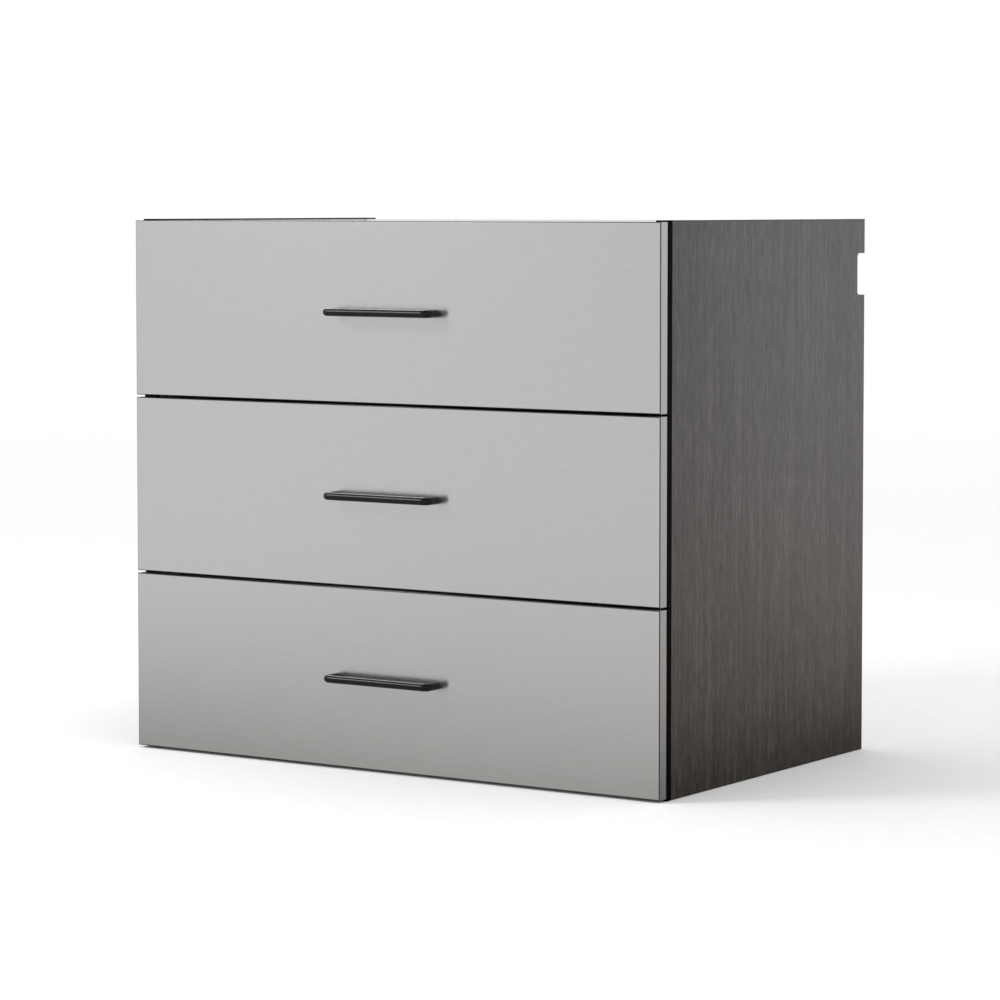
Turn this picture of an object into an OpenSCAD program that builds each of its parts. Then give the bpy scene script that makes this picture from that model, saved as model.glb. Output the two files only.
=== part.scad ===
// Drawer storage cabinet: an open-topped carcass with three full-overlay drawers,
// each carried by a pair of three-member ball-bearing slides.
// +X is the viewer's right, the drawer fronts face -Y, +Z is up.
// The origin is the centre of the footprint, on the floor.

/* [Cabinet] */
// Width over both side panels
body_w = 830; // [600:5:1000]
// Height of the side panels
body_h = 720; // [640:5:900]
// Depth from the face of the drawer fronts to the rear edge of the side panels
body_d = 532; // [520:1:650]
// Thickness of the side panels, the floor panel and the top rails
board_t = 18; // [16:1:22]
// Thickness of the wood-grain sheet on the outside of each side panel
decor_t = 1; // [0.8:0.1:1.5]
// Thickness of the edge band on top of each side panel
band_t = 2; // [1:0.5:3]
// Depth of each top rail, front to back
rail_d = 90; // [70:5:120]
// Distance from the top of the side panels down to the top rails
rail_drop = 6; // [0:1:12]
// Thickness of the back panel
back_t = 6; // [4:1:8]
// Distance from the back panel to the rear edge of the side panels
back_inset = 21; // [21:1:40]
// Depth of the grooves that hold the back panel
back_groove = 8; // [5:1:10]
// Depth of the black edge profile on the front of each side panel
profile_d = 11; // [7:0.5:14]
// Wall of the edge profile
profile_wall = 1.4; // [1:0.2:2]
// Thickness of the tongue that holds the edge profile in its side panel
tongue_t = 3; // [2:0.5:5]
// Length of that tongue
tongue_d = 9; // [6:1:12]

/* [Service notch] */
// Height of the notch in the rear edge of each side panel
notch_h = 56; // [30:1:90]
// Depth of the notch
notch_d = 20; // [10:1:20]
// Distance from the top of the side panel to the notch
notch_drop = 46; // [30:1:90]
// Corner radius of the notch
notch_r = 5; // [2:0.5:8]

/* [Drawer fronts] */
// Thickness of a drawer front
front_t = 16; // [14:0.5:20]
// Gap between two drawer fronts
front_gap = 3.5; // [2.5:0.5:6]
// Height of the side panels above the top drawer front
top_reveal = 2; // [1:0.5:6]
// Height of the lowest drawer front above the floor
bottom_reveal = 3; // [2:0.5:6]
// Thickness of the stainless sheet round a drawer front
skin_t = 0.8; // [0.6:0.1:1]
// Outer radius of the folds in that sheet
fold_r = 1.2; // [1:0.1:3]
// Width of the lips folded over the back of a drawer front
lip_w = 12; // [8:1:16]
// Height of the rubber buffers that the closed drawer fronts meet
buffer_h = 1; // [0.8:0.1:2]
// Diameter of a buffer
buffer_dia = 8; // [6:0.5:10]
// Distance from a buffer to the upper or lower edge of its drawer front
buffer_edge = 20; // [16:1:40]

/* [Handles] */
// Distance between the two feet of a handle, centre to centre
handle_pitch = 160; // [96:32:320]
// Diameter of the handle bar
handle_dia = 10; // [8:0.5:14]
// How far a handle stands out from its drawer front
handle_reach = 28; // [25:1:40]
// Inner radius of the two bends of a handle
handle_bend = 1; // [0.5:0.5:5]

/* [Drawer boxes] */
// Height of a drawer box above the lower edge of its drawer front
box_rise = 30; // [26:1:36]
// Distance from the top of a drawer box to the upper edge of its drawer front
box_drop = 41; // [32:1:80]
// Thickness of the sides, front and back of a drawer box
box_t = 15; // [12:1:18]
// Thickness of the floor of a drawer box
box_floor_t = 8; // [6:1:10]
// Height of the drawer floor above the lower edge of the box
box_floor_rise = 12; // [10:1:16]
// Depth of the grooves that hold the drawer floor
box_groove = 7; // [4:1:8]
// Radius along the top edges of the drawer box
box_round = 2; // [1:0.5:3]

/* [Slides] */
// Length of the slides
slide_len = 450; // [400:10:450]
// Height of a slide
slide_h = 45.7; // [44:0.1:50]
// Thickness of a slide, which sets the gap between carcass and drawer box
slide_w = 12.7; // [12.4:0.1:13.2]
// Thickness of the steel strip of the slides
strip_t = 1.2; // [1:0.1:1.3]
// Diameter of the slide balls
ball_dia = 4; // [3.8:0.1:4.2]
// Running clearance between ball and race
ball_play = 0.3; // [0.2:0.05:0.35]
// Distance from one ball to the next
ball_pitch = 24; // [12:1:24]
// Number of balls in each row
ball_count = 6; // [4:1:9]
// Distance from the front of the side panel to the front of the slides
slide_setback = 2; // [1:1:6]
// Height of the middle of a slide above the lower edge of its drawer box
slide_rise = 80; // [60:1:90]

/* [Fixings] */
// Diameter of the slide and box screws
screw_dia = 4; // [3.5:0.1:4.5]
// Diameter of a countersunk screw head
screw_head = 8; // [7:0.5:9]
// Length of the slide screws in the board
screw_len = 12; // [8:1:14]
// Clearance round a screw, a pin or a fitting in its hole
hole_play = 0.15; // [0.1:0.05:0.4]
// Diameter of a cam lock
cam_dia = 15; // [12:0.5:15]
// Depth of a cam lock in its board
cam_depth = 12.5; // [12:0.5:13.5]
// Distance from the end of a board to the middle of its cam locks
cam_backset = 34; // [24:1:34]
// Diameter of the cam bolts
bolt_dia = 5; // [4:0.5:6]
// Diameter of the beech dowels
dowel_dia = 8; // [6:1:8]
// Length of the beech dowels
dowel_len = 30; // [24:2:36]
// Diameter of the worktop fixing holes in the top rails
worktop_hole = 5.5; // [4:0.5:8]
// Distance between the worktop fixing holes along a rail
worktop_span = 640; // [400:10:640]

/* [Hidden] */
$fn = 48;

// Drawers are counted from the floor up
BOTTOM = 0;
MIDDLE = 1;
TOP = 2;
DRAWERS = [BOTTOM, MIDDLE, TOP];
SIDES = [-1, 1];
// Overshoot of a cut past the face that it opens
cut = 1;

// Planes of the carcass, front to back
front_y = handle_reach - (body_d + handle_reach) / 2;
rear_y = front_y + body_d;
profile_y = front_y + front_t + buffer_h;
side_y = profile_y + profile_d;
back_y = rear_y - back_inset - back_t;
slide_y = side_y + slide_setback;
inner_x = body_w / 2 - board_t;
rail_z = body_h - rail_drop - board_t;
core_t = board_t - decor_t;

// Drawer fronts
front_h = (body_h - top_reveal - bottom_reveal - 2 * front_gap) / 3;
function front_z(i) = bottom_reveal + i * (front_h + front_gap);
function front_mid_z(i) = front_z(i) + front_h / 2;

// Drawer boxes reach from the back of the drawer front to the rear end of the slides
box_x = inner_x - slide_w;
box_y = front_y + front_t;
box_d = slide_y + slide_len - box_y;
box_h = front_h - box_rise - box_drop;
box_inner_x = box_x - box_t;
function box_z(i) = front_z(i) + box_rise;
function slide_z(i) = box_z(i) + slide_rise;

// Slide section, measured from the side panel (u) and from mid-height (v).
// The carcass race lies over ball row 1 and the drawer race under ball row 2;
// the strip of the middle member passes under row 1 and over row 2 in one S bend.
ball_r = ball_dia / 2;
race_in = ball_r + ball_play;
race_out = race_in + strip_t;
web_gap = 0.4;
drawer_web_gap = 0.5;
race_side_gap = 0.1;
row1_u = strip_t + race_side_gap + race_in;
row1_v = slide_h / 2 - race_out;
row2_u = slide_w - strip_t - drawer_web_gap - race_out;
row_du = row2_u - row1_u;
row2_v = row1_v - sqrt(pow(race_in + race_out, 2) - pow(row_du, 2));
bend_angle = atan2(row1_v - row2_v, row_du);
lip_angle = 20;
join_angle = 4;
mid_web_u = strip_t + web_gap;
mid_inset = 5;
mid_len = slide_len - 2 * mid_inset;
window_h = 12;
window_len = 36;
window_r = 5.5;
window_count = 5;

// Ball cages: flat ribbons in the plane of the balls, pocketed at the ball pitch
cage_t = 0.6;
cage_gap = 0.2;
cage_web_gap = 0.3;
cage_rim = 2;
pocket_play = 0.1;
pocket_open = 0.8;
pocket_r = ball_r + pocket_play;
cage_mouth = ball_r - pocket_open;
cage_reach = ball_r + cage_rim;
cage_len = ball_count * ball_pitch;
cage_y = slide_y + (slide_len - cage_len) / 2;
cage_web_u = mid_web_u + strip_t + cage_web_gap;

// Screw places along the slides, measured from their front ends
slide_screw_first = 37;
slide_screw_last = slide_len - slide_screw_first;
slide_screws_at = [slide_screw_first, (slide_screw_first + slide_screw_last) / 2, slide_screw_last];
screw_r = screw_dia / 2;
head_r = screw_head / 2;
head_h = 1.2;

// Handle screws and drawer front screws
handle_screw_r = 2;
handle_screw_bite = 12;
handle_head_r = 4;
handle_head_h = 2.5;
front_screw_edge = 60;
front_screw_x = box_inner_x - front_screw_edge;
front_screw_rise = 40;
front_screw_bite = 11;
box_screw_len = 30;
box_screw_edge = 22;

// Carcass fittings
cam_r = cam_dia / 2;
bolt_r = bolt_dia / 2;
bolt_bite = 11;
bolt_head_r = bolt_r + 1;
bolt_head_h = 2.5;
bolt_bore_r = bolt_head_r + hole_play;
cross_l = 6;
cross_w = 1.4;
cross_depth = 2;
dowel_r = dowel_dia / 2;
dowel_in_side = 11;
dowel_step = 32;
floor_cam_edge = 45;
cam_front_y = side_y + floor_cam_edge;
cam_rear_y = back_y - floor_cam_edge;
rail_front_y = side_y + rail_d / 2;
rail_rear_y = back_y - rail_d / 2;
rail_cam_edge = 28;
floor_mid_z = board_t / 2;
rail_mid_z = rail_z + board_t / 2;
back_screw_r = 1.75;
back_screw_head_r = 3.5;
back_screw_head_h = 2;
back_screw_len = 20;
back_screw_count = 5;
back_screw_edge = 60;

// A rectangle with four round corners, centred
module rounded(w, h, r) {
    square([w - 2 * r, h], center = true);
    square([w, h - 2 * r], center = true);
    for (x = [-1, 1], y = [-1, 1])
        translate([x * (w / 2 - r), y * (h / 2 - r)]) circle(r);
}

// A rectangle from y = 0 to y = d whose two corners at y = 0 are round
module folded(w, d, r) {
    translate([-w / 2 + r, 0]) square([w - 2 * r, d]);
    translate([-w / 2, r]) square([w, d - r]);
    for (x = [-1, 1]) translate([x * (w / 2 - r), r]) circle(r);
}

// Extrudes an outline drawn in X and Z along +Y
module along_y(len) {
    translate([0, len, 0]) rotate([90, 0, 0]) linear_extrude(len) children();
}

// Puts a child that is drawn for the right half on one side of the cabinet
module on_side(s) {
    if (s > 0) children();
    else mirror([1, 0, 0]) children();
}

// A cylinder that starts at the origin and runs along the cabinet's -X, for the right half
module peg(r, len) {
    rotate([0, -90, 0]) cylinder(r = r, h = len);
}

// Carcass

// The notch's round corners are at its floor; its outline runs on past the rear edge
module notch() {
    past = 2 * notch_r;
    translate([body_w / 2 + cut, rear_y + (past - notch_d) / 2, body_h - notch_drop - notch_h / 2])
        rotate([0, -90, 0]) linear_extrude(board_t + 2 * cut) rounded(notch_h, notch_d + past, notch_r);
}

// The groove that takes the tongue of the edge profile
module tongue_groove() {
    translate([body_w / 2 - (board_t + tongue_t) / 2, side_y - cut, -cut])
        cube([tongue_t, tongue_d + cut + hole_play, body_h + 2 * cut]);
}

module side_core() {
    x0 = body_w / 2 - board_t;
    difference() {
        translate([x0, side_y, 0]) cube([core_t, rear_y - side_y, body_h - band_t]);
        notch();
        translate([x0 - cut, back_y, -cut]) cube([back_groove + cut, back_t, body_h + 2 * cut]);
        tongue_groove();
        for (i = DRAWERS, y = slide_screws_at)
            translate([x0 + screw_len, slide_y + y, slide_z(i)]) peg(screw_r + hole_play, screw_len + cut);
        for (p = fitting_places()) {
            translate([x0 + bolt_bite, p[0], p[1]]) peg(bolt_r + hole_play, bolt_bite + cut);
            translate([x0 + dowel_in_side, p[0] + p[2] * dowel_step, p[1]])
                peg(dowel_r + hole_play, dowel_in_side + cut);
        }
    }
}

// Cam bolt places: y, z and the direction in which the dowel lies beside the bolt
function fitting_places() = [
    [cam_front_y, floor_mid_z, 1],
    [cam_rear_y, floor_mid_z, -1],
    [side_y + rail_cam_edge, rail_mid_z, 1],
    [back_y - rail_cam_edge, rail_mid_z, -1],
];

module side_panel(s) {
    color("gainsboro") on_side(s) side_core();
}

module side_decor(s) {
    color("dimgray") on_side(s) difference() {
        translate([body_w / 2 - decor_t, side_y, 0]) cube([decor_t, rear_y - side_y, body_h]);
        notch();
    }
}

module top_bands() {
    color("black") for (s = SIDES) on_side(s) difference() {
        translate([inner_x, side_y, body_h - band_t]) cube([core_t, rear_y - side_y, band_t]);
        tongue_groove();
    }
}

// Extruded edge profile: a hollow head as wide as the side panel, and a barbed tongue in its groove
module profile_outline() {
    slot = board_t - 2 * profile_wall;
    difference() {
        union() {
            folded(board_t, profile_d, profile_wall);
            translate([-tongue_t / 2 + hole_play, profile_d - cut])
                square([tongue_t - 2 * hole_play, tongue_d + cut]);
        }
        for (x = [-1, 1])
            translate([x * (slot + profile_wall) / 4, profile_d / 2])
                square([(slot - profile_wall) / 2, profile_d - 2 * profile_wall], center = true);
    }
}

module edge_profile(s) {
    color("black") on_side(s) translate([body_w / 2 - board_t / 2, profile_y, 0])
        linear_extrude(body_h) profile_outline();
}

// Cuts for one end of a board that cam locks hold, seen on the right half
module end_fittings(y, z, step) {
    face = z - board_t / 2;
    translate([inner_x + cut, y, z]) peg(bolt_bore_r, cam_backset + cut);
    translate([inner_x - cam_backset, y, face - cut]) cylinder(r = cam_r + hole_play, h = cam_depth + cut);
    translate([inner_x + cut, y + step * dowel_step, z])
        peg(dowel_r + hole_play, dowel_len - dowel_in_side + cut + hole_play);
}

module floor_panel() {
    color("gainsboro") difference() {
        translate([-inner_x, side_y, 0]) cube([2 * inner_x, back_y - side_y, board_t]);
        for (s = SIDES, p = fitting_places())
            if (p[1] == floor_mid_z) on_side(s) end_fittings(p[0], p[1], p[2]);
        back_screw_holes(floor_mid_z);
    }
}

module rail(mid_y, p) {
    color("gainsboro") difference() {
        translate([-inner_x, mid_y - rail_d / 2, rail_z]) cube([2 * inner_x, rail_d, board_t]);
        for (s = SIDES) on_side(s) end_fittings(p[0], p[1], p[2]);
        for (s = SIDES) translate([s * worktop_span / 2, mid_y, rail_z - cut])
            cylinder(d = worktop_hole, h = board_t + 2 * cut);
        back_screw_holes(rail_mid_z);
    }
}

module back_screw_places(z) {
    step = 2 * (inner_x - back_screw_edge) / (back_screw_count - 1);
    for (k = [0 : back_screw_count - 1])
        translate([-inner_x + back_screw_edge + k * step, back_y + back_t, z]) rotate([90, 0, 0]) children();
}

module back_screw_holes(z) {
    back_screw_places(z) cylinder(r = back_screw_r + hole_play, h = back_screw_len + hole_play);
}

module back_panel() {
    w = 2 * (inner_x + back_groove) - 2 * hole_play;
    color("gainsboro") difference() {
        translate([-w / 2, back_y, 0]) cube([w, back_t, body_h - band_t]);
        for (z = [floor_mid_z, rail_mid_z]) back_screw_places(z) {
            translate([0, 0, -cut]) cylinder(r = back_screw_r + hole_play, h = back_t + 2 * cut);
            translate([0, 0, -cut]) cylinder(r = back_screw_head_r + hole_play, h = back_screw_head_h + cut);
        }
    }
}

module back_screws() {
    color("silver") for (z = [floor_mid_z, rail_mid_z]) back_screw_places(z) {
        cylinder(r = back_screw_head_r, h = back_screw_head_h);
        cylinder(r = back_screw_r, h = back_screw_len);
    }
}

// One cam lock: a disc with a driver cross below and a side slot for the head of its bolt
module cam_lock() {
    difference() {
        cylinder(r = cam_r, h = cam_depth);
        for (a = [0, 90]) rotate(a) translate([-cross_l / 2, -cross_w / 2, -cut])
            cube([cross_l, cross_w, cross_depth + cut]);
        translate([0, 0, board_t / 2]) rotate([0, 90, 0]) cylinder(r = bolt_bore_r, h = cam_dia);
        translate([0, 0, board_t / 2]) sphere(bolt_bore_r);
    }
}

module cam_locks() {
    color("silver") for (s = SIDES, p = fitting_places()) on_side(s)
        translate([inner_x - cam_backset, p[0], p[1] - board_t / 2]) cam_lock();
}

module cam_bolts() {
    reach = cam_backset - bolt_head_h / 2;
    color("silver") for (s = SIDES, p = fitting_places()) on_side(s) {
        translate([inner_x + bolt_bite, p[0], p[1]]) peg(bolt_r, bolt_bite + reach);
        translate([inner_x - reach + bolt_head_h, p[0], p[1]]) peg(bolt_head_r, bolt_head_h);
    }
}

module dowels() {
    color("burlywood") for (s = SIDES, p = fitting_places()) on_side(s)
        translate([inner_x + dowel_in_side, p[0] + p[2] * dowel_step, p[1]]) peg(dowel_r, dowel_len);
}

module buffers() {
    x = body_w / 2 - board_t / 2;
    rise = [buffer_edge, front_h - buffer_edge];
    color("dimgray") for (s = SIDES, i = DRAWERS, z = rise)
        translate([s * x, profile_y, front_z(i) + z]) rotate([90, 0, 0]) cylinder(d = buffer_dia, h = buffer_h);
}

// Slides

// Part of a race round a ball row at (u, v), from angle a to angle b
module race(u, v, a, b) {
    reach = 2 * race_out;
    mid = (a + b) / 2;
    translate([u, v]) intersection() {
        difference() {
            circle(race_out);
            circle(race_in);
        }
        polygon([[0, 0], for (t = [a, (a + mid) / 2, mid, (mid + b) / 2, b]) reach * [cos(t), sin(t)]]);
    }
}

// Both halves of a slide section, drawn for the upper one
module both_halves() {
    children();
    mirror([0, 1]) children();
}

module outer_section() {
    translate([0, -slide_h / 2]) square([strip_t, slide_h]);
    both_halves() {
        translate([0, row1_v + race_in]) square([row1_u, strip_t]);
        race(row1_u, row1_v, lip_angle, 90);
    }
}

module mid_section() {
    web_v = row1_v - race_in;
    translate([mid_web_u, -web_v]) square([strip_t, 2 * web_v]);
    both_halves() {
        translate([mid_web_u, row1_v - race_out]) square([row1_u - mid_web_u, strip_t]);
        race(row1_u, row1_v, -90, join_angle - bend_angle);
        race(row2_u, row2_v, lip_angle, 180 + join_angle - bend_angle);
    }
}

module inner_section() {
    web_v = row2_v - race_in;
    translate([slide_w - strip_t, -web_v]) square([strip_t, 2 * web_v]);
    both_halves() {
        translate([row2_u, row2_v - race_out]) square([slide_w - row2_u, strip_t]);
        race(row2_u, row2_v, 180 + lip_angle, 270);
    }
}

// Puts a slide section drawn in (u, v) on the right half, running back from y
module slide_bar(i, y, len) {
    translate([inner_x, y, slide_z(i)]) mirror([1, 0, 0]) along_y(len) children();
}

// A countersunk hole through the web of a slide member, wide at its far end
module web_hole() {
    cylinder(r1 = screw_r + hole_play, r2 = head_r + hole_play, h = head_h);
}

module slide_outer(i) {
    color("lightsteelblue") for (s = SIDES) on_side(s) difference() {
        slide_bar(i, slide_y, slide_len) outer_section();
        for (y = slide_screws_at) translate([inner_x, slide_y + y, slide_z(i)]) rotate([0, -90, 0])
            web_hole();
    }
}

module slide_mid(i) {
    web_x = inner_x - mid_web_u;
    step = (mid_len - window_len) / window_count;
    color("lightsteelblue") for (s = SIDES) on_side(s) difference() {
        slide_bar(i, slide_y + mid_inset, mid_len) mid_section();
        for (k = [0 : window_count - 1])
            translate([web_x + cut, slide_y + mid_inset + (k + 0.5) * step + window_len / 2, slide_z(i)])
                rotate([0, -90, 0]) linear_extrude(strip_t + 2 * cut) rounded(window_h, window_len, window_r);
    }
}

module slide_inner(i) {
    color("lightsteelblue") for (s = SIDES) on_side(s) difference() {
        slide_bar(i, slide_y, slide_len) inner_section();
        for (y = slide_screws_at) translate([box_x, slide_y + y, slide_z(i)]) rotate([0, 90, 0])
            web_hole();
    }
}

// The balls of one row and the pocketed ribbon that spaces them
module ball_row(i, u, v, left, right) {
    for (half = [-1, 1]) translate([inner_x - u, cage_y, slide_z(i) + half * v]) {
        difference() {
            translate([-right, 0, -cage_t / 2]) cube([left + right, cage_len, cage_t]);
            for (k = [0 : ball_count - 1]) translate([0, (k + 0.5) * ball_pitch, -cut])
                cylinder(r = pocket_r, h = 2 * cut);
        }
        for (k = [0 : ball_count - 1]) translate([0, (k + 0.5) * ball_pitch, 0]) sphere(ball_r);
    }
}

module ball_cage_outer(i) {
    color("slategray") for (s = SIDES) on_side(s)
        ball_row(i, row1_u, row1_v, cage_mouth, cage_reach);
}

module ball_cage_inner(i) {
    left = row2_u - cage_web_u;
    web_h = 2 * row2_v + cage_t;
    color("slategray") for (s = SIDES) on_side(s) {
        ball_row(i, row2_u, row2_v, left, slide_w - strip_t - cage_gap - row2_u);
        translate([inner_x - cage_web_u - cage_t, cage_y, slide_z(i) - web_h / 2])
            cube([cage_t, cage_len, web_h]);
    }
}

// A countersunk screw whose head face lies at the origin and whose point runs along -Z
module screw(len) {
    translate([0, 0, -head_h]) cylinder(r1 = screw_r, r2 = head_r, h = head_h);
    translate([0, 0, -len - head_h]) cylinder(r = screw_r, h = len + head_h / 2);
}

module slide_screws() {
    color("silver") for (s = SIDES, i = DRAWERS, y = slide_screws_at) on_side(s)
        translate([inner_x - strip_t, slide_y + y, slide_z(i)]) rotate([0, -90, 0])
            screw(screw_len - hole_play);
}

// Drawers

// A drawer front's solid, with all four front edges folded round, set in from the outline
module front_solid(i, inset, depth) {
    r = fold_r - inset;
    w = body_w - 2 * inset;
    h = front_h - 2 * inset;
    translate([0, front_y + inset, front_mid_z(i)]) intersection() {
        translate([0, 0, -h / 2]) linear_extrude(h) folded(w, depth, r);
        translate([-w / 2, 0, 0]) rotate([90, 0, 90]) linear_extrude(w)
            rotate(90) mirror([0, 1]) folded(h, depth, r);
    }
}

// Children at both fixing places of a handle, drawn with +Z pointing out of the drawer front
module handle_places(i, y) {
    for (s = SIDES) translate([s * handle_pitch / 2, y, front_mid_z(i)]) rotate([90, 0, 0]) children();
}

module front_skin(i) {
    lip_y = front_y + front_t - skin_t;
    w = body_w - 2 * lip_w;
    h = front_h - 2 * lip_w;
    color("silver") difference() {
        front_solid(i, 0, front_t);
        front_solid(i, skin_t, front_t - 2 * skin_t);
        translate([-w / 2, lip_y - cut, front_mid_z(i) - h / 2]) cube([w, skin_t + 2 * cut, h]);
        handle_places(i, front_y + skin_t + cut)
            cylinder(r = handle_screw_r + hole_play, h = skin_t + 2 * cut);
    }
}

module front_core(i) {
    pad_w = body_w - 2 * lip_w;
    pad_h = front_h - 2 * lip_w;
    color("tan") difference() {
        union() {
            front_solid(i, skin_t, front_t - 2 * skin_t);
            translate([-pad_w / 2, front_y + front_t / 2, front_mid_z(i) - pad_h / 2])
                cube([pad_w, front_t / 2, pad_h]);
        }
        handle_places(i, front_y + front_t + cut)
            cylinder(r = handle_screw_r + hole_play, h = front_t + 2 * cut);
        front_screw_places(i) translate([0, 0, -front_screw_bite - box_t - hole_play])
            cylinder(r = screw_r + hole_play, h = front_screw_bite + box_t);
    }
}

// Bow handle: a straight round bar, two bends and two feet, bored for its screws
module handle(i) {
    r = handle_dia / 2;
    bend_mid = handle_bend + r;
    half = handle_pitch / 2;
    straight = half - bend_mid;
    foot = handle_reach - r - bend_mid;
    color("black") translate([0, front_y, front_mid_z(i)]) difference() {
        union() {
            translate([-straight, r - handle_reach, 0]) rotate([0, 90, 0]) cylinder(r = r, h = 2 * straight);
            for (s = SIDES) on_side(s) {
                translate([straight, -foot, 0]) rotate(-90) rotate_extrude(angle = 90)
                    translate([bend_mid, 0]) circle(r);
                translate([half, 0, 0]) rotate([90, 0, 0]) cylinder(r = r, h = foot);
            }
        }
        for (s = SIDES) translate([s * half, cut, 0]) rotate([90, 0, 0])
            cylinder(r = handle_screw_r + hole_play, h = handle_screw_bite + hole_play + cut);
    }
}

// A board of the drawer box, drawn across X with its thickness along Y and round top edges
module box_board_outline(t) {
    translate([-t / 2, 0]) square([t, box_h - box_round]);
    translate([-t / 2 + box_round, 0]) square([t - 2 * box_round, box_h]);
    for (x = [-1, 1]) translate([x * (t / 2 - box_round), box_h - box_round]) circle(box_round);
}

// The drawer floor, which also cuts its own grooves
module box_floor_solid(i, play) {
    w = 2 * (box_inner_x + box_groove) + play;
    y0 = box_y + box_t - box_groove - play / 2;
    d = box_d - 2 * (box_t - box_groove) + play;
    translate([-w / 2, y0, box_z(i) + box_floor_rise]) cube([w, d, box_floor_t]);
}

// Children at the box corner screws of the right side, drawn with +Z pointing out of the box side
module box_screw_places(i) {
    ends = [box_y + box_t / 2, box_y + box_d - box_t / 2];
    heights = [box_screw_edge + box_floor_rise, box_h - box_screw_edge];
    for (y = ends, z = heights)
        translate([box_x, y, box_z(i) + z]) rotate([0, 90, 0]) children();
}

module screw_cut(len) {
    translate([0, 0, -head_h]) cylinder(r1 = screw_r + hole_play, r2 = head_r + hole_play, h = head_h);
    cylinder(r = head_r + hole_play, h = cut);
    translate([0, 0, -len - head_h]) cylinder(r = screw_r + hole_play, h = len + head_h / 2);
}

module box_side(i, s) {
    color("whitesmoke") on_side(s) difference() {
        translate([box_x - box_t / 2, box_y, box_z(i)]) along_y(box_d) box_board_outline(box_t);
        box_floor_solid(i, 2 * hole_play);
        box_screw_places(i) screw_cut(box_screw_len);
        for (y = slide_screws_at) translate([box_x + cut, slide_y + y, slide_z(i)])
            peg(screw_r + hole_play, screw_len + cut);
    }
}

// The box front and back stand between the sides
module box_cross_board(i, y) {
    translate([-box_inner_x, y + box_t / 2, box_z(i)]) rotate([90, 0, 90])
        linear_extrude(2 * box_inner_x) box_board_outline(box_t);
}

// Children at the screws that hold a drawer front, drawn with +Z pointing into the box
module front_screw_places(i) {
    for (s = SIDES, z = [box_z(i) + front_screw_rise, box_z(i) + box_h - front_screw_rise])
        translate([s * front_screw_x, box_y + box_t, z]) rotate([-90, 0, 0]) children();
}

module box_front(i) {
    color("whitesmoke") difference() {
        box_cross_board(i, box_y);
        box_floor_solid(i, 2 * hole_play);
        handle_places(i, box_y + box_t + cut)
            cylinder(r = handle_screw_r + hole_play, h = box_t + 2 * cut);
        front_screw_places(i) screw_cut(box_t);
        for (s = SIDES) on_side(s) box_screw_places(i) screw_cut(box_screw_len);
    }
}

module box_back(i) {
    color("whitesmoke") difference() {
        box_cross_board(i, box_y + box_d - box_t);
        box_floor_solid(i, 2 * hole_play);
        for (s = SIDES) on_side(s) box_screw_places(i) screw_cut(box_screw_len);
    }
}

module box_floor(i) {
    color("lightgray") box_floor_solid(i, 0);
}

module drawer_screws(i) {
    handle_screw_len = box_t + front_t + handle_screw_bite;
    color("silver") {
        handle_places(i, box_y + box_t) {
            translate([0, 0, -handle_head_h]) cylinder(r = handle_head_r, h = handle_head_h);
            cylinder(r = handle_screw_r, h = handle_screw_len);
        }
        front_screw_places(i) screw(box_t + front_screw_bite - head_h - hole_play);
        for (s = SIDES) on_side(s) {
            box_screw_places(i) screw(box_screw_len - hole_play);
            for (y = slide_screws_at) translate([box_x + strip_t, slide_y + y, slide_z(i)])
                rotate([0, 90, 0]) screw(screw_len - hole_play);
        }
    }
}

side_panel(-1);  // side_panel_left
side_panel(1);  // side_panel_right
side_decor(-1);  // side_decor_left
side_decor(1);  // side_decor_right
top_bands();
edge_profile(-1);  // edge_profile_left
edge_profile(1);  // edge_profile_right
floor_panel();
back_panel();
rail(rail_front_y, fitting_places()[2]);  // rail_front
rail(rail_rear_y, fitting_places()[3]);  // rail_rear
cam_locks();
cam_bolts();
dowels();
back_screws();
slide_screws();
buffers();
slide_outer(TOP);  // slide_outer_top
slide_outer(MIDDLE);  // slide_outer_middle
slide_outer(BOTTOM);  // slide_outer_bottom
slide_mid(TOP);  // slide_mid_top
slide_mid(MIDDLE);  // slide_mid_middle
slide_mid(BOTTOM);  // slide_mid_bottom
slide_inner(TOP);  // slide_inner_top
slide_inner(MIDDLE);  // slide_inner_middle
slide_inner(BOTTOM);  // slide_inner_bottom
ball_cage_outer(TOP);  // ball_cage_outer_top
ball_cage_outer(MIDDLE);  // ball_cage_outer_middle
ball_cage_outer(BOTTOM);  // ball_cage_outer_bottom
ball_cage_inner(TOP);  // ball_cage_inner_top
ball_cage_inner(MIDDLE);  // ball_cage_inner_middle
ball_cage_inner(BOTTOM);  // ball_cage_inner_bottom
front_core(TOP);  // front_core_top
front_core(MIDDLE);  // front_core_middle
front_core(BOTTOM);  // front_core_bottom
front_skin(TOP);  // front_skin_top
front_skin(MIDDLE);  // front_skin_middle
front_skin(BOTTOM);  // front_skin_bottom
handle(TOP);  // handle_top
handle(MIDDLE);  // handle_middle
handle(BOTTOM);  // handle_bottom
box_side(TOP, -1);  // box_left_top
box_side(MIDDLE, -1);  // box_left_middle
box_side(BOTTOM, -1);  // box_left_bottom
box_side(TOP, 1);  // box_right_top
box_side(MIDDLE, 1);  // box_right_middle
box_side(BOTTOM, 1);  // box_right_bottom
box_front(TOP);  // box_front_top
box_front(MIDDLE);  // box_front_middle
box_front(BOTTOM);  // box_front_bottom
box_back(TOP);  // box_back_top
box_back(MIDDLE);  // box_back_middle
box_back(BOTTOM);  // box_back_bottom
box_floor(TOP);  // box_floor_top
box_floor(MIDDLE);  // box_floor_middle
box_floor(BOTTOM);  // box_floor_bottom
drawer_screws(TOP);  // drawer_screws_top
drawer_screws(MIDDLE);  // drawer_screws_middle
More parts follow.
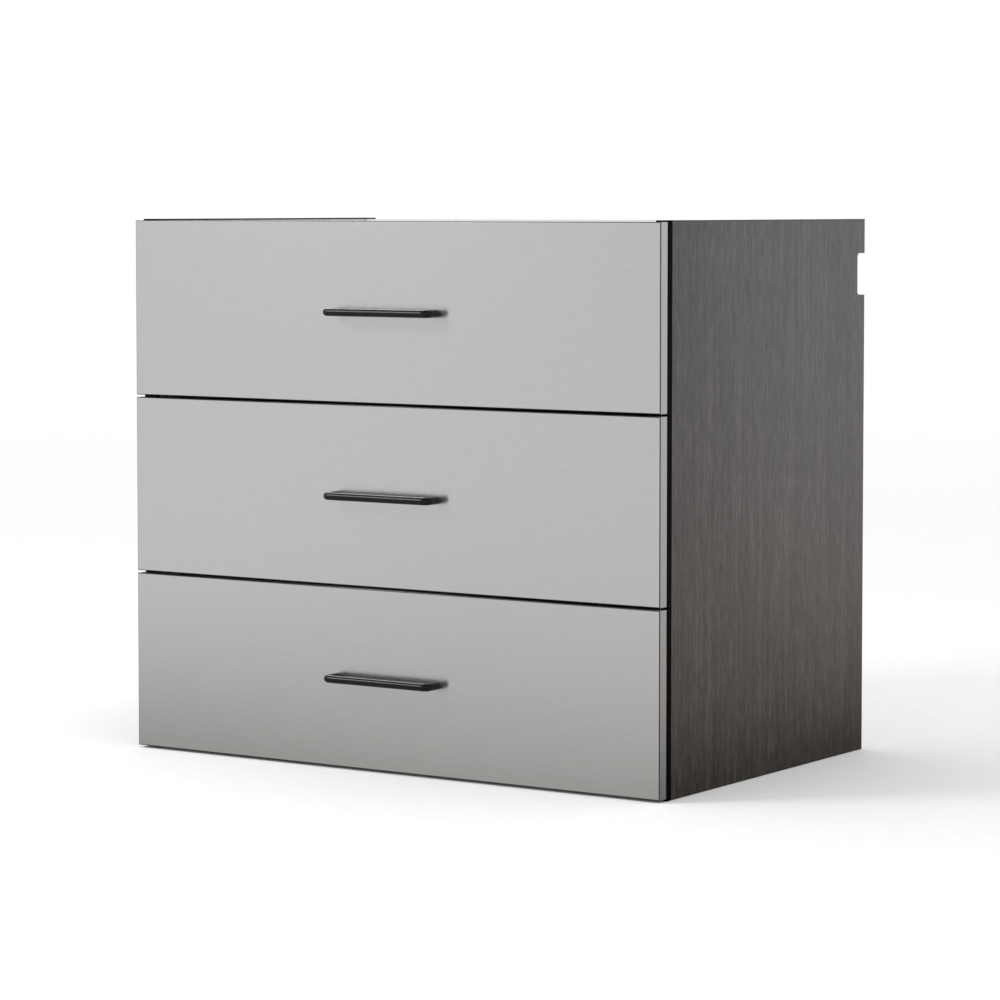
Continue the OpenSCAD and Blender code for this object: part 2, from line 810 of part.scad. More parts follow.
drawer_screws(BOTTOM);  // drawer_screws_bottom
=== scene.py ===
import math
import random

import bpy
from mathutils import Euler, Matrix, Vector


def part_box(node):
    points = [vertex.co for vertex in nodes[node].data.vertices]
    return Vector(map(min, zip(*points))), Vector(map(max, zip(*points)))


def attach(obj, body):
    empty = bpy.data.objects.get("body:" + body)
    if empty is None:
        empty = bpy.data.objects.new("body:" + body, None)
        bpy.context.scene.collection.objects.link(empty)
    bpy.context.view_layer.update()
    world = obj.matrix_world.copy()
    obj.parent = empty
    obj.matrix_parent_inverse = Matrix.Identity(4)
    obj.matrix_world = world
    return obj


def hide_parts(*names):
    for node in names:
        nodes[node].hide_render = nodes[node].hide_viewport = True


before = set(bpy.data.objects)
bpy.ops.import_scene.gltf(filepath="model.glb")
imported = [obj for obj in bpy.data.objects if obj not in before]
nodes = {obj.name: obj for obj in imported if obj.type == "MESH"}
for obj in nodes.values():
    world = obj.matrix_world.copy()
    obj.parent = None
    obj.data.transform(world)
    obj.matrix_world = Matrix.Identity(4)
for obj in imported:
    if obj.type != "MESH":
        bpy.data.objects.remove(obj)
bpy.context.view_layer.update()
MM = 0.001
X, Y, Z = range(3)
LEVELS = ("top", "middle", "bottom")
SIDES = (-1, 1)


def ends(node, axis):
    """Lowest and highest place of a CAD node along an axis, in millimetres."""
    return [round(corner[axis] / MM, 2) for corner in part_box(node)]


def middle(node, axis):
    return sum(ends(node, axis)) / 2


# Shader graphs

# Most of a noise lies between these two
NOISE_LOW = 0.3
NOISE_HIGH = 0.7
WHITE = (1.0, 1.0, 1.0)
# Sockets of the mix node when it mixes colours
MIX_SHARE, MIX_A, MIX_B, MIX_RESULT = 0, 6, 7, 2


class Graph:
    """Short ways to lay out the nodes of one shader."""

    def __init__(self, tree):
        self.tree = tree

    def node(self, kind, **settings):
        made = self.tree.nodes.new(kind)
        for name, value in settings.items():
            setattr(made, name, value)
        return made

    def feed(self, socket, value):
        """Links value where it is a socket, and sets it where it is a number or a colour."""
        if isinstance(value, bpy.types.NodeSocket):
            self.tree.links.new(value, socket)
        else:
            socket.default_value = value

    def math(self, operation, a, b=0.0):
        made = self.node("ShaderNodeMath", operation=operation)
        self.feed(made.inputs[0], a)
        self.feed(made.inputs[1], b)
        return made.outputs[0]

    def total(self, *parts):
        """Sum of (value, weight) pairs."""
        value, weight = parts[0]
        result = self.math("MULTIPLY", value, weight)
        for value, weight in parts[1:]:
            result = self.math("ADD", result, self.math("MULTIPLY", value, weight))
        return result

    def split(self, vector):
        made = self.node("ShaderNodeSeparateXYZ")
        self.feed(made.inputs[0], vector)
        return made.outputs

    def join(self, x, y, z):
        made = self.node("ShaderNodeCombineXYZ")
        for socket, value in zip(made.inputs, (x, y, z)):
            self.feed(socket, value)
        return made.outputs[0]

    def length(self, vector):
        made = self.node("ShaderNodeVectorMath", operation="LENGTH")
        self.feed(made.inputs[0], vector)
        return made.outputs["Value"]

    def span(self, value, low, high, start=NOISE_LOW, end=NOISE_HIGH):
        """value from start to end becomes low to high."""
        made = self.node("ShaderNodeMapRange")
        for socket, number in zip(made.inputs, (value, start, end, low, high)):
            self.feed(socket, number)
        return made.outputs[0]

    def ramp(self, value, stops):
        made = self.node("ShaderNodeValToRGB")
        elements = made.color_ramp.elements
        while len(elements) < len(stops):
            elements.new(0.5)
        for element, (position, colour) in zip(elements, stops):
            element.position = position
            element.color = (*colour, 1.0)
        self.feed(made.inputs[0], value)
        return made.outputs[0]

    def shades(self, noise, dark, light):
        """From the dark colour to the light one, as a noise rises."""
        return self.ramp(noise, [(NOISE_LOW, dark), (NOISE_HIGH, light)])

    def blend(self, share, a, b, how="MIX"):
        """Colour a with a share of colour b."""
        made = self.node("ShaderNodeMix", data_type="RGBA", blend_type=how)
        self.feed(made.inputs[MIX_SHARE], share)
        self.feed(made.inputs[MIX_A], (*a, 1.0) if isinstance(a, tuple) else a)
        self.feed(made.inputs[MIX_B], (*b, 1.0) if isinstance(b, tuple) else b)
        return made.outputs[MIX_RESULT]

    def overlay(self, share, under, over):
        """Shader under with a share of shader over."""
        made = self.node("ShaderNodeMixShader")
        for socket, value in zip(made.inputs, (share, under, over)):
            self.feed(socket, value)
        return made.outputs[0]

    def is_glossy(self):
        return self.node("ShaderNodeLightPath").outputs["Is Glossy Ray"]


# A face is square to an axis where its normal has more than the first share along it, and bent where it has
# less than the second along all three
SQUARE_SHARE = 0.5
FLAT_SHARE = 0.985


class Finish(Graph):
    """One material. Its pattern is laid out in the part's own metres, so it rides with the part."""

    def __init__(self, name, metallic=0.0, roughness=0.5, anisotropic=0.0, turn=0.0, specular=0.5):
        self.material = bpy.data.materials.new(name)
        self.material.use_nodes = True
        super().__init__(self.material.node_tree)
        self.shader = self.tree.nodes["Principled BSDF"]
        fixed = {
            "Metallic": metallic,
            "Roughness": roughness,
            "Anisotropic": anisotropic,
            "Anisotropic Rotation": turn,
            "Specular IOR Level": specular,
        }
        for socket, value in fixed.items():
            self.shader.inputs[socket].default_value = value
        self.place = self.node("ShaderNodeTexCoord").outputs["Object"]
        self.facing = self.node("ShaderNodeNewGeometry").outputs["Normal"]

    def stretch(self, vector, factors):
        made = self.node("ShaderNodeVectorMath", operation="MULTIPLY")
        self.feed(made.inputs[0], vector)
        self.feed(made.inputs[1], factors)
        return made.outputs[0]

    def noise(self, cycles, detail=2.0, rough=0.5, vector=None):
        """Noise with that many cycles a metre along x, y and z."""
        made = self.node("ShaderNodeTexNoise")
        self.feed(made.inputs["Vector"], self.stretch(self.place if vector is None else vector, cycles))
        self.feed(made.inputs["Scale"], 1.0)
        self.feed(made.inputs["Detail"], detail)
        self.feed(made.inputs["Roughness"], rough)
        return made.outputs["Fac"]

    def cells(self, cycles):
        """Colours of cells, that many a metre, and the distance from their middles."""
        made = self.node("ShaderNodeTexVoronoi")
        self.feed(made.inputs["Vector"], self.stretch(self.place, cycles))
        self.feed(made.inputs["Scale"], 1.0)
        return made.outputs["Color"], made.outputs["Distance"]

    def bump(self, height, depth, strength):
        """Bump of that depth in millimetres."""
        made = self.node("ShaderNodeBump")
        self.feed(made.inputs["Strength"], strength)
        self.feed(made.inputs["Distance"], depth * MM)
        self.feed(made.inputs["Height"], height)
        return made.outputs[0]

    def across(self, axis):
        """1 on the faces square to that axis, 0 on the others."""
        along = self.split(self.facing)[axis]
        return self.math("GREATER_THAN", self.math("ABSOLUTE", along), SQUARE_SHARE)

    def towards(self, axis, sign):
        """1 on the faces that look that way along the axis, 0 on the others."""
        along = self.split(self.facing)[axis]
        return self.math("GREATER_THAN", self.math("MULTIPLY", along, sign), SQUARE_SHARE)

    def bent(self):
        """1 where the surface looks along none of the three axes, as on a fold, 0 on the flats."""
        sizes = [self.math("ABSOLUTE", part) for part in self.split(self.facing)]
        largest = self.math("MAXIMUM", self.math("MAXIMUM", sizes[X], sizes[Y]), sizes[Z])
        return self.math("LESS_THAN", largest, FLAT_SHARE)

    def done(self, colour, roughness=None, normal=None):
        self.feed(self.shader.inputs["Base Color"], colour)
        if roughness is not None:
            self.feed(self.shader.inputs["Roughness"], roughness)
        if normal is not None:
            self.feed(self.shader.inputs["Normal"], normal)
        return self.material


# Metals

SHEET_SHADES = ((0.510, 0.510, 0.507), (0.540, 0.540, 0.537))
SHEET_CLOUD = (0.528, 0.528, 0.525)
CLOUD_SHARE = 0.3
# Painted light: the colour of the returns is raised by this share
RETURN_PAINTED_LIGHT = (1.15, 1.15, 1.15)
# Painted shade: the colour of the folds, standing in for the dark reflections along them
FOLD_PAINTED_SHADE = (0.055, 0.055, 0.055)
SHEET_ROUGH = (0.178, 0.198)
LIP_ROUGHER = 0.4
RETURN_ROUGHER = 0.22


def brushed_stainless():
    """Sheet with level brush lines on its face, its returns and its lips, with painted shade along the folds
    and painted light on its returns.
    """
    f = Finish("brushed_stainless", metallic=1.0, anisotropic=0.7, turn=0.25)
    tangent = f.node("ShaderNodeTangent", direction_type="RADIAL", axis="Z")
    f.feed(f.shader.inputs["Tangent"], tangent.outputs[0])
    x, y, z = f.split(f.place)
    is_return = f.across(X)
    is_lip = f.across(Z)
    along_face = f.math("MULTIPLY", x, f.math("SUBTRACT", 1.0, is_return))
    along = f.math("ADD", along_face, f.math("MULTIPLY", y, is_return))
    over = f.math("ADD", z, f.math("MULTIPLY", y, is_lip))
    sheet = f.join(along, over, 0.0)
    hair = f.noise((14.0, 2600.0, 1.0), detail=3.0, rough=0.7, vector=sheet)
    streak = f.noise((34.0, 330.0, 1.0), vector=sheet)
    cloud = f.noise((3.0, 5.0, 3.0), detail=1.0)
    tone = f.total((hair, 0.5), (streak, 0.5))
    colour = f.shades(tone, *SHEET_SHADES)
    colour = f.blend(f.span(cloud, 0.0, CLOUD_SHARE), colour, SHEET_CLOUD)
    # Painted light on the returns
    colour = f.blend(is_return, colour, RETURN_PAINTED_LIGHT, how="MULTIPLY")
    # Painted shade along the folds
    colour = f.blend(f.bent(), colour, FOLD_PAINTED_SHADE)
    smooth = f.span(tone, *SHEET_ROUGH)
    roughness = f.total((smooth, 1.0), (is_lip, LIP_ROUGHER), (is_return, RETURN_ROUGHER))
    return f.done(colour, roughness, f.bump(hair, 0.006, 0.2))


ZINC_SHADES = [(0.3, (0.50, 0.53, 0.57)), (0.55, (0.58, 0.60, 0.63)), (0.75, (0.62, 0.62, 0.60))]
ZINC_ROUGH = (0.2, 0.42)


def zinc_strip():
    f = Finish("zinc_plated_strip", metallic=1.0)
    roll = f.noise((900.0, 12.0, 900.0))
    patch = f.noise((60.0, 30.0, 60.0), detail=3.0)
    roughness = f.span(f.total((roll, 0.6), (patch, 0.4)), *ZINC_ROUGH)
    return f.done(f.ramp(patch, ZINC_SHADES), roughness, f.bump(roll, 0.02, 0.3))


BLOTCH_SMOOTHER = 0.06
BLOTCH_ROUGHER = 0.08


def small_steel(name, dark, light, rough):
    """Zinc-plated or die-cast small parts, with a fine blotch."""
    f = Finish(name, metallic=1.0)
    blotch = f.noise((900.0, 900.0, 900.0), detail=3.0)
    roughness = f.span(blotch, rough - BLOTCH_SMOOTHER, rough + BLOTCH_ROUGHER)
    return f.done(f.shades(blotch, dark, light), roughness, f.bump(blotch, 0.03, 0.5))


POWDER_SHADES = ((0.0035, 0.0035, 0.004), (0.0065, 0.0065, 0.007))
POWDER_ROUGH = (0.18, 0.24)


def black_powder():
    f = Finish("black_powder_coat", specular=0.2)
    grit = f.noise((2600.0, 2600.0, 2600.0))
    wear = f.noise((30.0, 60.0, 60.0))
    return f.done(f.shades(wear, *POWDER_SHADES), f.span(grit, *POWDER_ROUGH), f.bump(grit, 0.03, 0.25))


ANODISED_SHADES = ((0.001, 0.001, 0.001), (0.003, 0.003, 0.003))
ANODISED_ROUGH = (0.5, 0.62)


def black_anodised():
    f = Finish("black_anodised_profile", specular=0.03)
    draw = f.noise((1800.0, 1800.0, 9.0))
    return f.done(f.shades(draw, *ANODISED_SHADES), f.span(draw, *ANODISED_ROUGH), f.bump(draw, 0.02, 0.4))


# Boards

EDGE_BAND_Z = ends("top_bands", Z)[0] * MM
EDGE_BAND_BLACK = (0.006, 0.006, 0.006)
GRAIN_SHADES = [
    (0.385, (0.009, 0.0072, 0.0060)),
    (0.5, (0.031, 0.0258, 0.0220)),
    (0.615, (0.066, 0.057, 0.050)),
]
GRAIN_ROUGH = (0.40, 0.32)
GRAIN_DRIFT = 0.012


def grain_sheet():
    """Dark oak-like decor with short upright pores, longer lines and wide soft bands, under a black top."""
    f = Finish("dark_grain_sheet", specular=0.88)
    x, y, z = f.split(f.place)
    drift = f.noise((0.0, 9.0, 2.2))
    shifted = f.math("ADD", y, f.math("MULTIPLY", f.math("SUBTRACT", drift, 0.5), GRAIN_DRIFT))
    grain = f.join(x, shifted, z)
    pore = f.noise((60.0, 1300.0, 70.0), rough=0.6, vector=grain)
    line = f.noise((20.0, 300.0, 42.0), detail=3.0, rough=0.6, vector=grain)
    long_line = f.noise((20.0, 150.0, 5.0), rough=0.6, vector=grain)
    wide = f.noise((5.0, 40.0, 1.0), vector=grain)
    tone = f.total((pore, 0.25), (line, 0.43), (long_line, 0.22), (wide, 0.10))
    colour = f.ramp(tone, GRAIN_SHADES)
    colour = f.blend(f.math("GREATER_THAN", z, EDGE_BAND_Z), colour, EDGE_BAND_BLACK)
    normal = f.bump(f.total((pore, 0.6), (line, 0.4)), 0.12, 0.5)
    return f.done(colour, f.span(tone, *GRAIN_ROUGH), normal)


CHIP_SHADES = [(0.0, (0.20, 0.13, 0.07)), (0.5, (0.36, 0.26, 0.15)), (1.0, (0.52, 0.41, 0.26))]


def chip_core(f):
    """Colour of a sawn chipboard edge, and the depth of its gaps."""
    flake, gap = f.cells((260.0, 260.0, 420.0))
    return f.ramp(f.split(flake)[0], CHIP_SHADES), gap


FACED_ROUGH = (0.40, 0.46)
SAWN_ROUGHER = 0.4
PEARL_SHARE = 0.5


def faced_board(name, dark, light, sawn_faces):
    """Melamine-faced and edge-banded board with a fine pearl texture, and raw flakes on its sawn faces."""
    f = Finish(name)
    pearl = f.noise((1100.0, 1100.0, 1100.0))
    tint = f.noise((6.0, 6.0, 6.0))
    smooth = f.shades(tint, dark, light)
    raw, gap = chip_core(f)
    sawn = 0.0
    for axis, sign in sawn_faces:
        sawn = f.math("MAXIMUM", f.towards(axis, sign), sawn)
    roughness = f.math("ADD", f.span(pearl, *FACED_ROUGH), f.math("MULTIPLY", sawn, SAWN_ROUGHER))
    height = f.math("ADD", f.math("MULTIPLY", pearl, PEARL_SHARE), f.math("MULTIPLY", gap, sawn))
    return f.done(f.blend(sawn, smooth, raw), roughness, f.bump(height, 0.04, 0.4))


FIBRE_SHADES = ((0.30, 0.21, 0.12), (0.42, 0.32, 0.20))
FOIL_SHADES = ((0.56, 0.56, 0.55), (0.60, 0.60, 0.59))
FIBRE_ROUGH = (0.45, 0.6)


def fibre_board():
    """Raw fibreboard with a grey backing foil on its rear face."""
    f = Finish("fibre_core")
    fuzz = f.noise((700.0, 700.0, 700.0), detail=3.0)
    raw = f.shades(fuzz, *FIBRE_SHADES)
    foil = f.shades(f.noise((5.0, 5.0, 5.0)), *FOIL_SHADES)
    colour = f.blend(f.across(Y), raw, foil)
    return f.done(colour, f.span(fuzz, *FIBRE_ROUGH), f.bump(fuzz, 0.03, 0.4))


PLASTIC_SHADES = ((0.005, 0.005, 0.005), (0.010, 0.010, 0.010))
PLASTIC_ROUGHER = 0.15


def black_plastic(name, cycles, rough):
    """Matt black edge band or moulding."""
    f = Finish(name, specular=0.15)
    grain = f.noise(cycles)
    roughness = f.span(grain, rough, rough + PLASTIC_ROUGHER)
    return f.done(f.shades(grain, *PLASTIC_SHADES), roughness, f.bump(grain, 0.03, 0.4))


BEECH_SHADES = ((0.42, 0.27, 0.14), (0.62, 0.45, 0.27))
BUFFER_SHADES = ((0.030, 0.030, 0.030), (0.05, 0.05, 0.05))
SOFT_ROUGH = (0.5, 0.7)


def beech():
    f = Finish("beech_dowel")
    grain = f.noise((25.0, 900.0, 900.0), detail=3.0)
    return f.done(f.shades(grain, *BEECH_SHADES), f.span(grain, *SOFT_ROUGH), f.bump(grain, 0.05, 0.5))


def rubber():
    f = Finish("grey_buffer", specular=0.4)
    skin = f.noise((800.0, 800.0, 800.0))
    return f.done(f.shades(skin, *BUFFER_SHADES), f.span(skin, *SOFT_ROUGH), f.bump(skin, 0.04, 0.4))


PALE = ((0.632, 0.632, 0.622), (0.648, 0.648, 0.638))
BOX_PALE = ((0.652, 0.652, 0.642), (0.668, 0.668, 0.658))

side_board = faced_board("faced_side_board", *PALE, [(Z, -1), (Z, 1), (Y, 1)])
flat_board = faced_board("faced_flat_board", *PALE, [(X, -1), (X, 1), (Y, 1)])
back_board = faced_board("faced_back_board", *PALE, [(X, -1), (X, 1), (Z, -1)])
box_side_board = faced_board("box_side_board", *BOX_PALE, [(Z, -1), (Y, 1)])
box_cross_board = faced_board("box_cross_board", *BOX_PALE, [(Z, -1), (X, -1), (X, 1)])
box_floor_board = faced_board("box_floor_board", *BOX_PALE, [(X, -1), (X, 1), (Y, -1), (Y, 1)])
screw_steel = small_steel("zinc_screw_steel", (0.52, 0.52, 0.54), (0.66, 0.66, 0.68), 0.26)
cast_zinc = small_steel("cast_zinc", (0.40, 0.40, 0.42), (0.52, 0.52, 0.53), 0.42)
cage_steel = small_steel("cage_steel", (0.42, 0.44, 0.47), (0.56, 0.57, 0.60), 0.24)
moulding = black_plastic("black_moulding", (900.0, 900.0, 900.0), 0.38)

LOOKS = {
    "side_panel": side_board,
    "side_decor": grain_sheet(),
    "top_bands": black_plastic("black_edge_band", (500.0, 20.0, 500.0), 0.45),
    "edge_profile": black_anodised(),
    "floor_panel": flat_board,
    "back_panel": back_board,
    "rail": flat_board,
    "cam_locks": cast_zinc,
    "cam_bolts": cast_zinc,
    "dowels": beech(),
    "back_screws": screw_steel,
    "slide_screws": screw_steel,
    "drawer_screws": screw_steel,
    "buffers": rubber(),
    "slide": zinc_strip(),
    "ball_cage": cage_steel,
    "front_core": fibre_board(),
    "front_skin": brushed_stainless(),
    "handle": black_powder(),
    "box_left": box_side_board,
    "box_right": box_side_board,
    "box_front": box_cross_board,
    "box_back": box_cross_board,
    "box_floor": box_floor_board,
}


def look_of(node):
    """The look under the longest name in LOOKS that the node's name starts with."""
    return LOOKS[max((key for key in LOOKS if node.startswith(key)), key=len)]


for node_name, node_object in nodes.items():
    node_object.data.materials.clear()
    node_object.data.materials.append(look_of(node_name))


# Pieces made in mesh code

class Shell:
    """Corners and faces that grow into one mesh, in millimetres."""

    def __init__(self):
        self.corners = []
        self.faces = []

    def add(self, other, matrix):
        """Adds a copy of another shell, moved and turned."""
        base = len(self.corners)
        self.corners += [matrix @ Vector(corner) for corner in other.corners]
        self.faces += [tuple(base + k for k in face) for face in other.faces]

    def ring(self, points):
        """Adds corners and gives back their numbers."""
        base = len(self.corners)
        self.corners += [tuple(point) for point in points]
        return list(range(base, len(self.corners)))

    def bridge(self, upper, lower):
        """Joins two closed rings of as many corners."""
        count = len(upper)
        for k in range(count):
            after = (k + 1) % count
            self.faces.append((upper[k], lower[k], lower[after], upper[after]))

    def piece(self, name, body, slot, look, replaced=None):
        mesh = bpy.data.meshes.new(name)
        mesh.from_pydata([Vector(corner) * MM for corner in self.corners], [], self.faces)
        mesh.validate()
        made = bpy.data.objects.new(name, mesh)
        bpy.context.scene.collection.objects.link(made)
        made.data.materials.append(look)
        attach(made, body)
        if replaced:
            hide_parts(replaced)
        return made


# Forms of the screws

ROUND = 24
THREAD_PITCH = 1.4
THREAD_DEPTH = 0.45
# A driver cross has four arms of four corners each, and the third is the one between two arms
ARMS = 4
ARM_CORNERS = 4
BETWEEN_ARMS = 2
CROSS_TAPER = 0.55
# Reach of an arm from the middle, width and depth of a driver cross
SUNK_CROSS = (2.3, 1.1, 1.0)
BACK_CROSS = (2.0, 1.0, 1.0)
PAN_CROSS = (2.1, 1.1, 1.3)


def circle(radius, height):
    return [
        (radius * math.cos(math.tau * k / ROUND), radius * math.sin(math.tau * k / ROUND), height)
        for k in range(ROUND)
    ]


def cross_points(reach, width, height):
    """A four-armed outline with a corner in the middle of each arm's tip, counter-clockwise from +X."""
    half = width / 2
    quarter = [(reach, 0.0), (reach, half), (half, half), (half, reach)]
    turned = []
    for _ in range(ARMS):
        turned += [(x, y, height) for x, y in quarter]
        quarter = [(-y, x) for x, y in quarter]
    return turned


def screw_shell(head, shank_r, length, cross):
    """A screw with its driver cross. The head is a list of (radius, height), from its rim to the shank."""
    s = Shell()
    reach, width, depth = cross
    rim_height = head[0][1]
    rim = s.ring(circle(*head[0]))
    mouth = s.ring(cross_points(reach, width, rim_height))
    floor = s.ring(cross_points(reach * CROSS_TAPER, width * CROSS_TAPER, rim_height - depth))
    step = ROUND // ARMS
    for arm in range(ARMS):
        outer = [rim[(arm * step + k) % ROUND] for k in range(step + 1)]
        inner = [mouth[(arm * ARM_CORNERS + k) % len(mouth)] for k in range(ARM_CORNERS + 1)]
        s.faces.append(tuple(outer + inner[::-1]))
    s.bridge(mouth, floor)
    s.faces.append(tuple(floor[BETWEEN_ARMS::ARM_CORNERS]))
    for arm in range(ARMS):
        around_tip = range(arm * ARM_CORNERS - BETWEEN_ARMS, arm * ARM_CORNERS + BETWEEN_ARMS + 1)
        s.faces.append(tuple(floor[k % len(floor)] for k in around_tip))
    last = rim
    for radius, height in head[1:]:
        now = s.ring(circle(radius, height))
        s.bridge(last, now)
        last = now
    height = head[-1][1] - THREAD_PITCH / 2
    while height > 2 * shank_r - length:
        for radius, drop in ((shank_r - THREAD_DEPTH, 0.0), (shank_r, THREAD_PITCH / 2)):
            now = s.ring(circle(radius, height - drop))
            s.bridge(last, now)
            last = now
        height -= THREAD_PITCH
    tip = s.ring([(0.0, 0.0, -length)])[0]
    for k in range(ROUND):
        s.faces.append((last[k], tip, last[(k + 1) % ROUND]))
    return s


# How far the rim of a sunk head is worn in and down
RIM_IN = 0.15
RIM_DOWN = 0.12


def sunk_head(head_r, head_h, shank_r):
    return [(head_r - RIM_IN, 0.0), (head_r, -RIM_DOWN), (shank_r, -head_h)]


SCREW_R = 2.0
SCREW_HEAD_R = 4.0
SCREW_HEAD_H = 1.2
SCREW_HEAD = sunk_head(SCREW_HEAD_R, SCREW_HEAD_H, SCREW_R)
BACK_SCREW_R = 1.75
BACK_SCREW_HEAD_R = 3.5
BACK_SCREW_HEAD_H = 2.0
BACK_SCREW_HEAD = sunk_head(BACK_SCREW_HEAD_R, BACK_SCREW_HEAD_H, BACK_SCREW_R)
PAN_H = 2.5
PAN_HEAD = [
    (2.2, 0.0), (3.0, -0.2), (3.6, -0.7), (3.9, -1.3), (4.0, -2.0), (4.0, -PAN_H), (SCREW_R, -PAN_H),
]
SLIDE_SCREW_LEN = 13.0
FRONT_SCREW_LEN = 25.8
BOX_SCREW_LEN = 31.0
BACK_SCREW_LEN = 20.0
HANDLE_SCREW_LEN = 45.5

slide_screw = screw_shell(SCREW_HEAD, SCREW_R, SLIDE_SCREW_LEN, SUNK_CROSS)
front_screw = screw_shell(SCREW_HEAD, SCREW_R, FRONT_SCREW_LEN, SUNK_CROSS)
box_screw = screw_shell(SCREW_HEAD, SCREW_R, BOX_SCREW_LEN, SUNK_CROSS)
back_screw = screw_shell(BACK_SCREW_HEAD, BACK_SCREW_R, BACK_SCREW_LEN, BACK_CROSS)
handle_screw = screw_shell(PAN_HEAD, SCREW_R, HANDLE_SCREW_LEN, PAN_CROSS)


# Places of the screws, as in the part's source, worked out from the boards and slides that they hold

STRIP_T = 1.2
SLIDE_SCREW_EDGE = 37.0
FRONT_SCREW_EDGE = 60.0
FRONT_SCREW_INSET = 40.0
BOX_SCREW_INSET = 22.0
BACK_SCREW_EDGE = 60.0
BACK_SCREW_COUNT = 5
TURN_SEED = 7

INNER_X = ends("side_panel_right", X)[0]
BOX_INNER_X, BOX_X = ends("box_right_top", X)
BOX_IN_Y = ends("box_front_top", Y)[1]
BACK_Y = ends("back_panel", Y)[1]
SLIDE_FRONT_Y, SLIDE_REAR_Y = ends("slide_outer_top", Y)
SLIDE_SCREW_YS = (
    SLIDE_FRONT_Y + SLIDE_SCREW_EDGE, middle("slide_outer_top", Y), SLIDE_REAR_Y - SLIDE_SCREW_EDGE,
)
BOX_SCREW_YS = (middle("box_front_top", Y), middle("box_back_top", Y))
FRONT_SCREW_X = BOX_INNER_X - FRONT_SCREW_EDGE
HANDLE_LOW_Z, HANDLE_HIGH_Z = ends("handle_top", Z)
HANDLE_SCREW_X = ends("handle_top", X)[1] - (HANDLE_HIGH_Z - HANDLE_LOW_Z) / 2
BACK_SCREW_ZS = (middle("floor_panel", Z), middle("rail_rear", Z))
BACK_SCREW_X = INNER_X - BACK_SCREW_EDGE
BACK_SCREW_STEP = 2 * BACK_SCREW_X / (BACK_SCREW_COUNT - 1)

rolls = random.Random(TURN_SEED)


def set_screw(shell, screw, place, outward):
    """Puts a screw's head face at place, turned by chance about its own axis."""
    aim = Vector(outward).to_track_quat("Z", "Y").to_matrix().to_4x4()
    spin = Matrix.Rotation(rolls.uniform(0.0, math.tau), 4, "Z")
    shell.add(screw, Matrix.Translation(place) @ aim @ spin)


def make_screws():
    carcass = Shell()
    for level in LEVELS:
        drawer = Shell()
        box_low, box_high = ends("box_left_" + level, Z)
        slide_z = middle("slide_outer_" + level, Z)
        handle_z = middle("handle_" + level, Z)
        front_zs = (box_low + FRONT_SCREW_INSET, box_high - FRONT_SCREW_INSET)
        box_zs = (ends("box_floor_" + level, Z)[0] + BOX_SCREW_INSET, box_high - BOX_SCREW_INSET)
        for side in SIDES:
            for y in SLIDE_SCREW_YS:
                set_screw(carcass, slide_screw, (side * (INNER_X - STRIP_T), y, slide_z), (-side, 0, 0))
                set_screw(drawer, slide_screw, (side * (BOX_X + STRIP_T), y, slide_z), (side, 0, 0))
            pan_top = (side * HANDLE_SCREW_X, BOX_IN_Y + PAN_H, handle_z)
            set_screw(drawer, handle_screw, pan_top, (0, 1, 0))
            for z in front_zs:
                set_screw(drawer, front_screw, (side * FRONT_SCREW_X, BOX_IN_Y, z), (0, 1, 0))
            for y in BOX_SCREW_YS:
                for z in box_zs:
                    set_screw(drawer, box_screw, (side * BOX_X, y, z), (side, 0, 0))
        name = "drawer_screws_" + level
        drawer.piece("cross_head_" + name, "drawer_" + level, "screw_steel", screw_steel, name)
    carcass.piece("cross_head_slide_screws", "cabinet", "screw_steel", screw_steel, "slide_screws")
    back = Shell()
    for k in range(BACK_SCREW_COUNT):
        for z in BACK_SCREW_ZS:
            set_screw(back, back_screw, (k * BACK_SCREW_STEP - BACK_SCREW_X, BACK_Y, z), (0, 1, 0))
    back.piece("cross_head_back_screws", "cabinet", "screw_steel", screw_steel, "back_screws")


make_screws()


# Mouldings of the slides

LEVER_SETBACK = 73.0
LEVER_T = 2.2
LEVER_OUTLINE = [
    (0.0, -4.0), (10.0, -5.0), (44.0, -3.2), (54.0, -7.6), (62.0, -8.2), (64.0, -6.0), (63.0, -2.5),
    (52.0, 2.8), (30.0, 4.2), (12.0, 5.0), (2.0, 4.5), (-2.5, 2.2), (-3.2, 0.0), (-2.5, -2.4),
]
STOP_INSET = 1.8
STOP_T = 3.0
STOP_OUTLINE = [
    (-1.2, -7.0), (-1.6, -6.0), (-1.6, 6.0), (-1.2, 7.0), (1.2, 7.0), (1.6, 6.0), (1.6, -6.0), (1.2, -7.0),
]
SEAT_GAP = 0.1
SOFT_EDGE = 0.35


def plate(shell, outline, y, z, low_x, high_x):
    """Adds a plate between two X planes, with its outline drawn from y and z."""
    near = shell.ring([(low_x, y + along, z + up) for along, up in outline])
    far = shell.ring([(high_x, y + along, z + up) for along, up in outline])
    shell.bridge(near, far)
    shell.faces += [tuple(near[::-1]), tuple(far)]


def soften(piece):
    bevel = piece.modifiers.new("soft_edges", "BEVEL")
    bevel.width = SOFT_EDGE * MM
    bevel.segments = 2
    bevel.limit_method = "ANGLE"


def make_mouldings():
    """A release lever on each drawer member and a small stop at the rear of each carcass member."""
    lever_y = SLIDE_FRONT_Y + LEVER_SETBACK
    stop_y = SLIDE_REAR_Y - STOP_INSET
    stops = Shell()
    for level in LEVELS:
        z = middle("slide_outer_" + level, Z)
        levers = Shell()
        for side in SIDES:
            seat = side * (BOX_X + STRIP_T + SEAT_GAP)
            plate(levers, LEVER_OUTLINE, lever_y, z, seat, seat + side * LEVER_T)
            seat = side * (INNER_X - STRIP_T - SEAT_GAP)
            plate(stops, STOP_OUTLINE, stop_y, z, seat, seat - side * STOP_T)
        soften(levers.piece("slide_levers_" + level, "drawer_" + level, "black_edge", moulding))
    soften(stops.piece("slide_stops", "cabinet", "black_edge", moulding))


make_mouldings()


# Floor

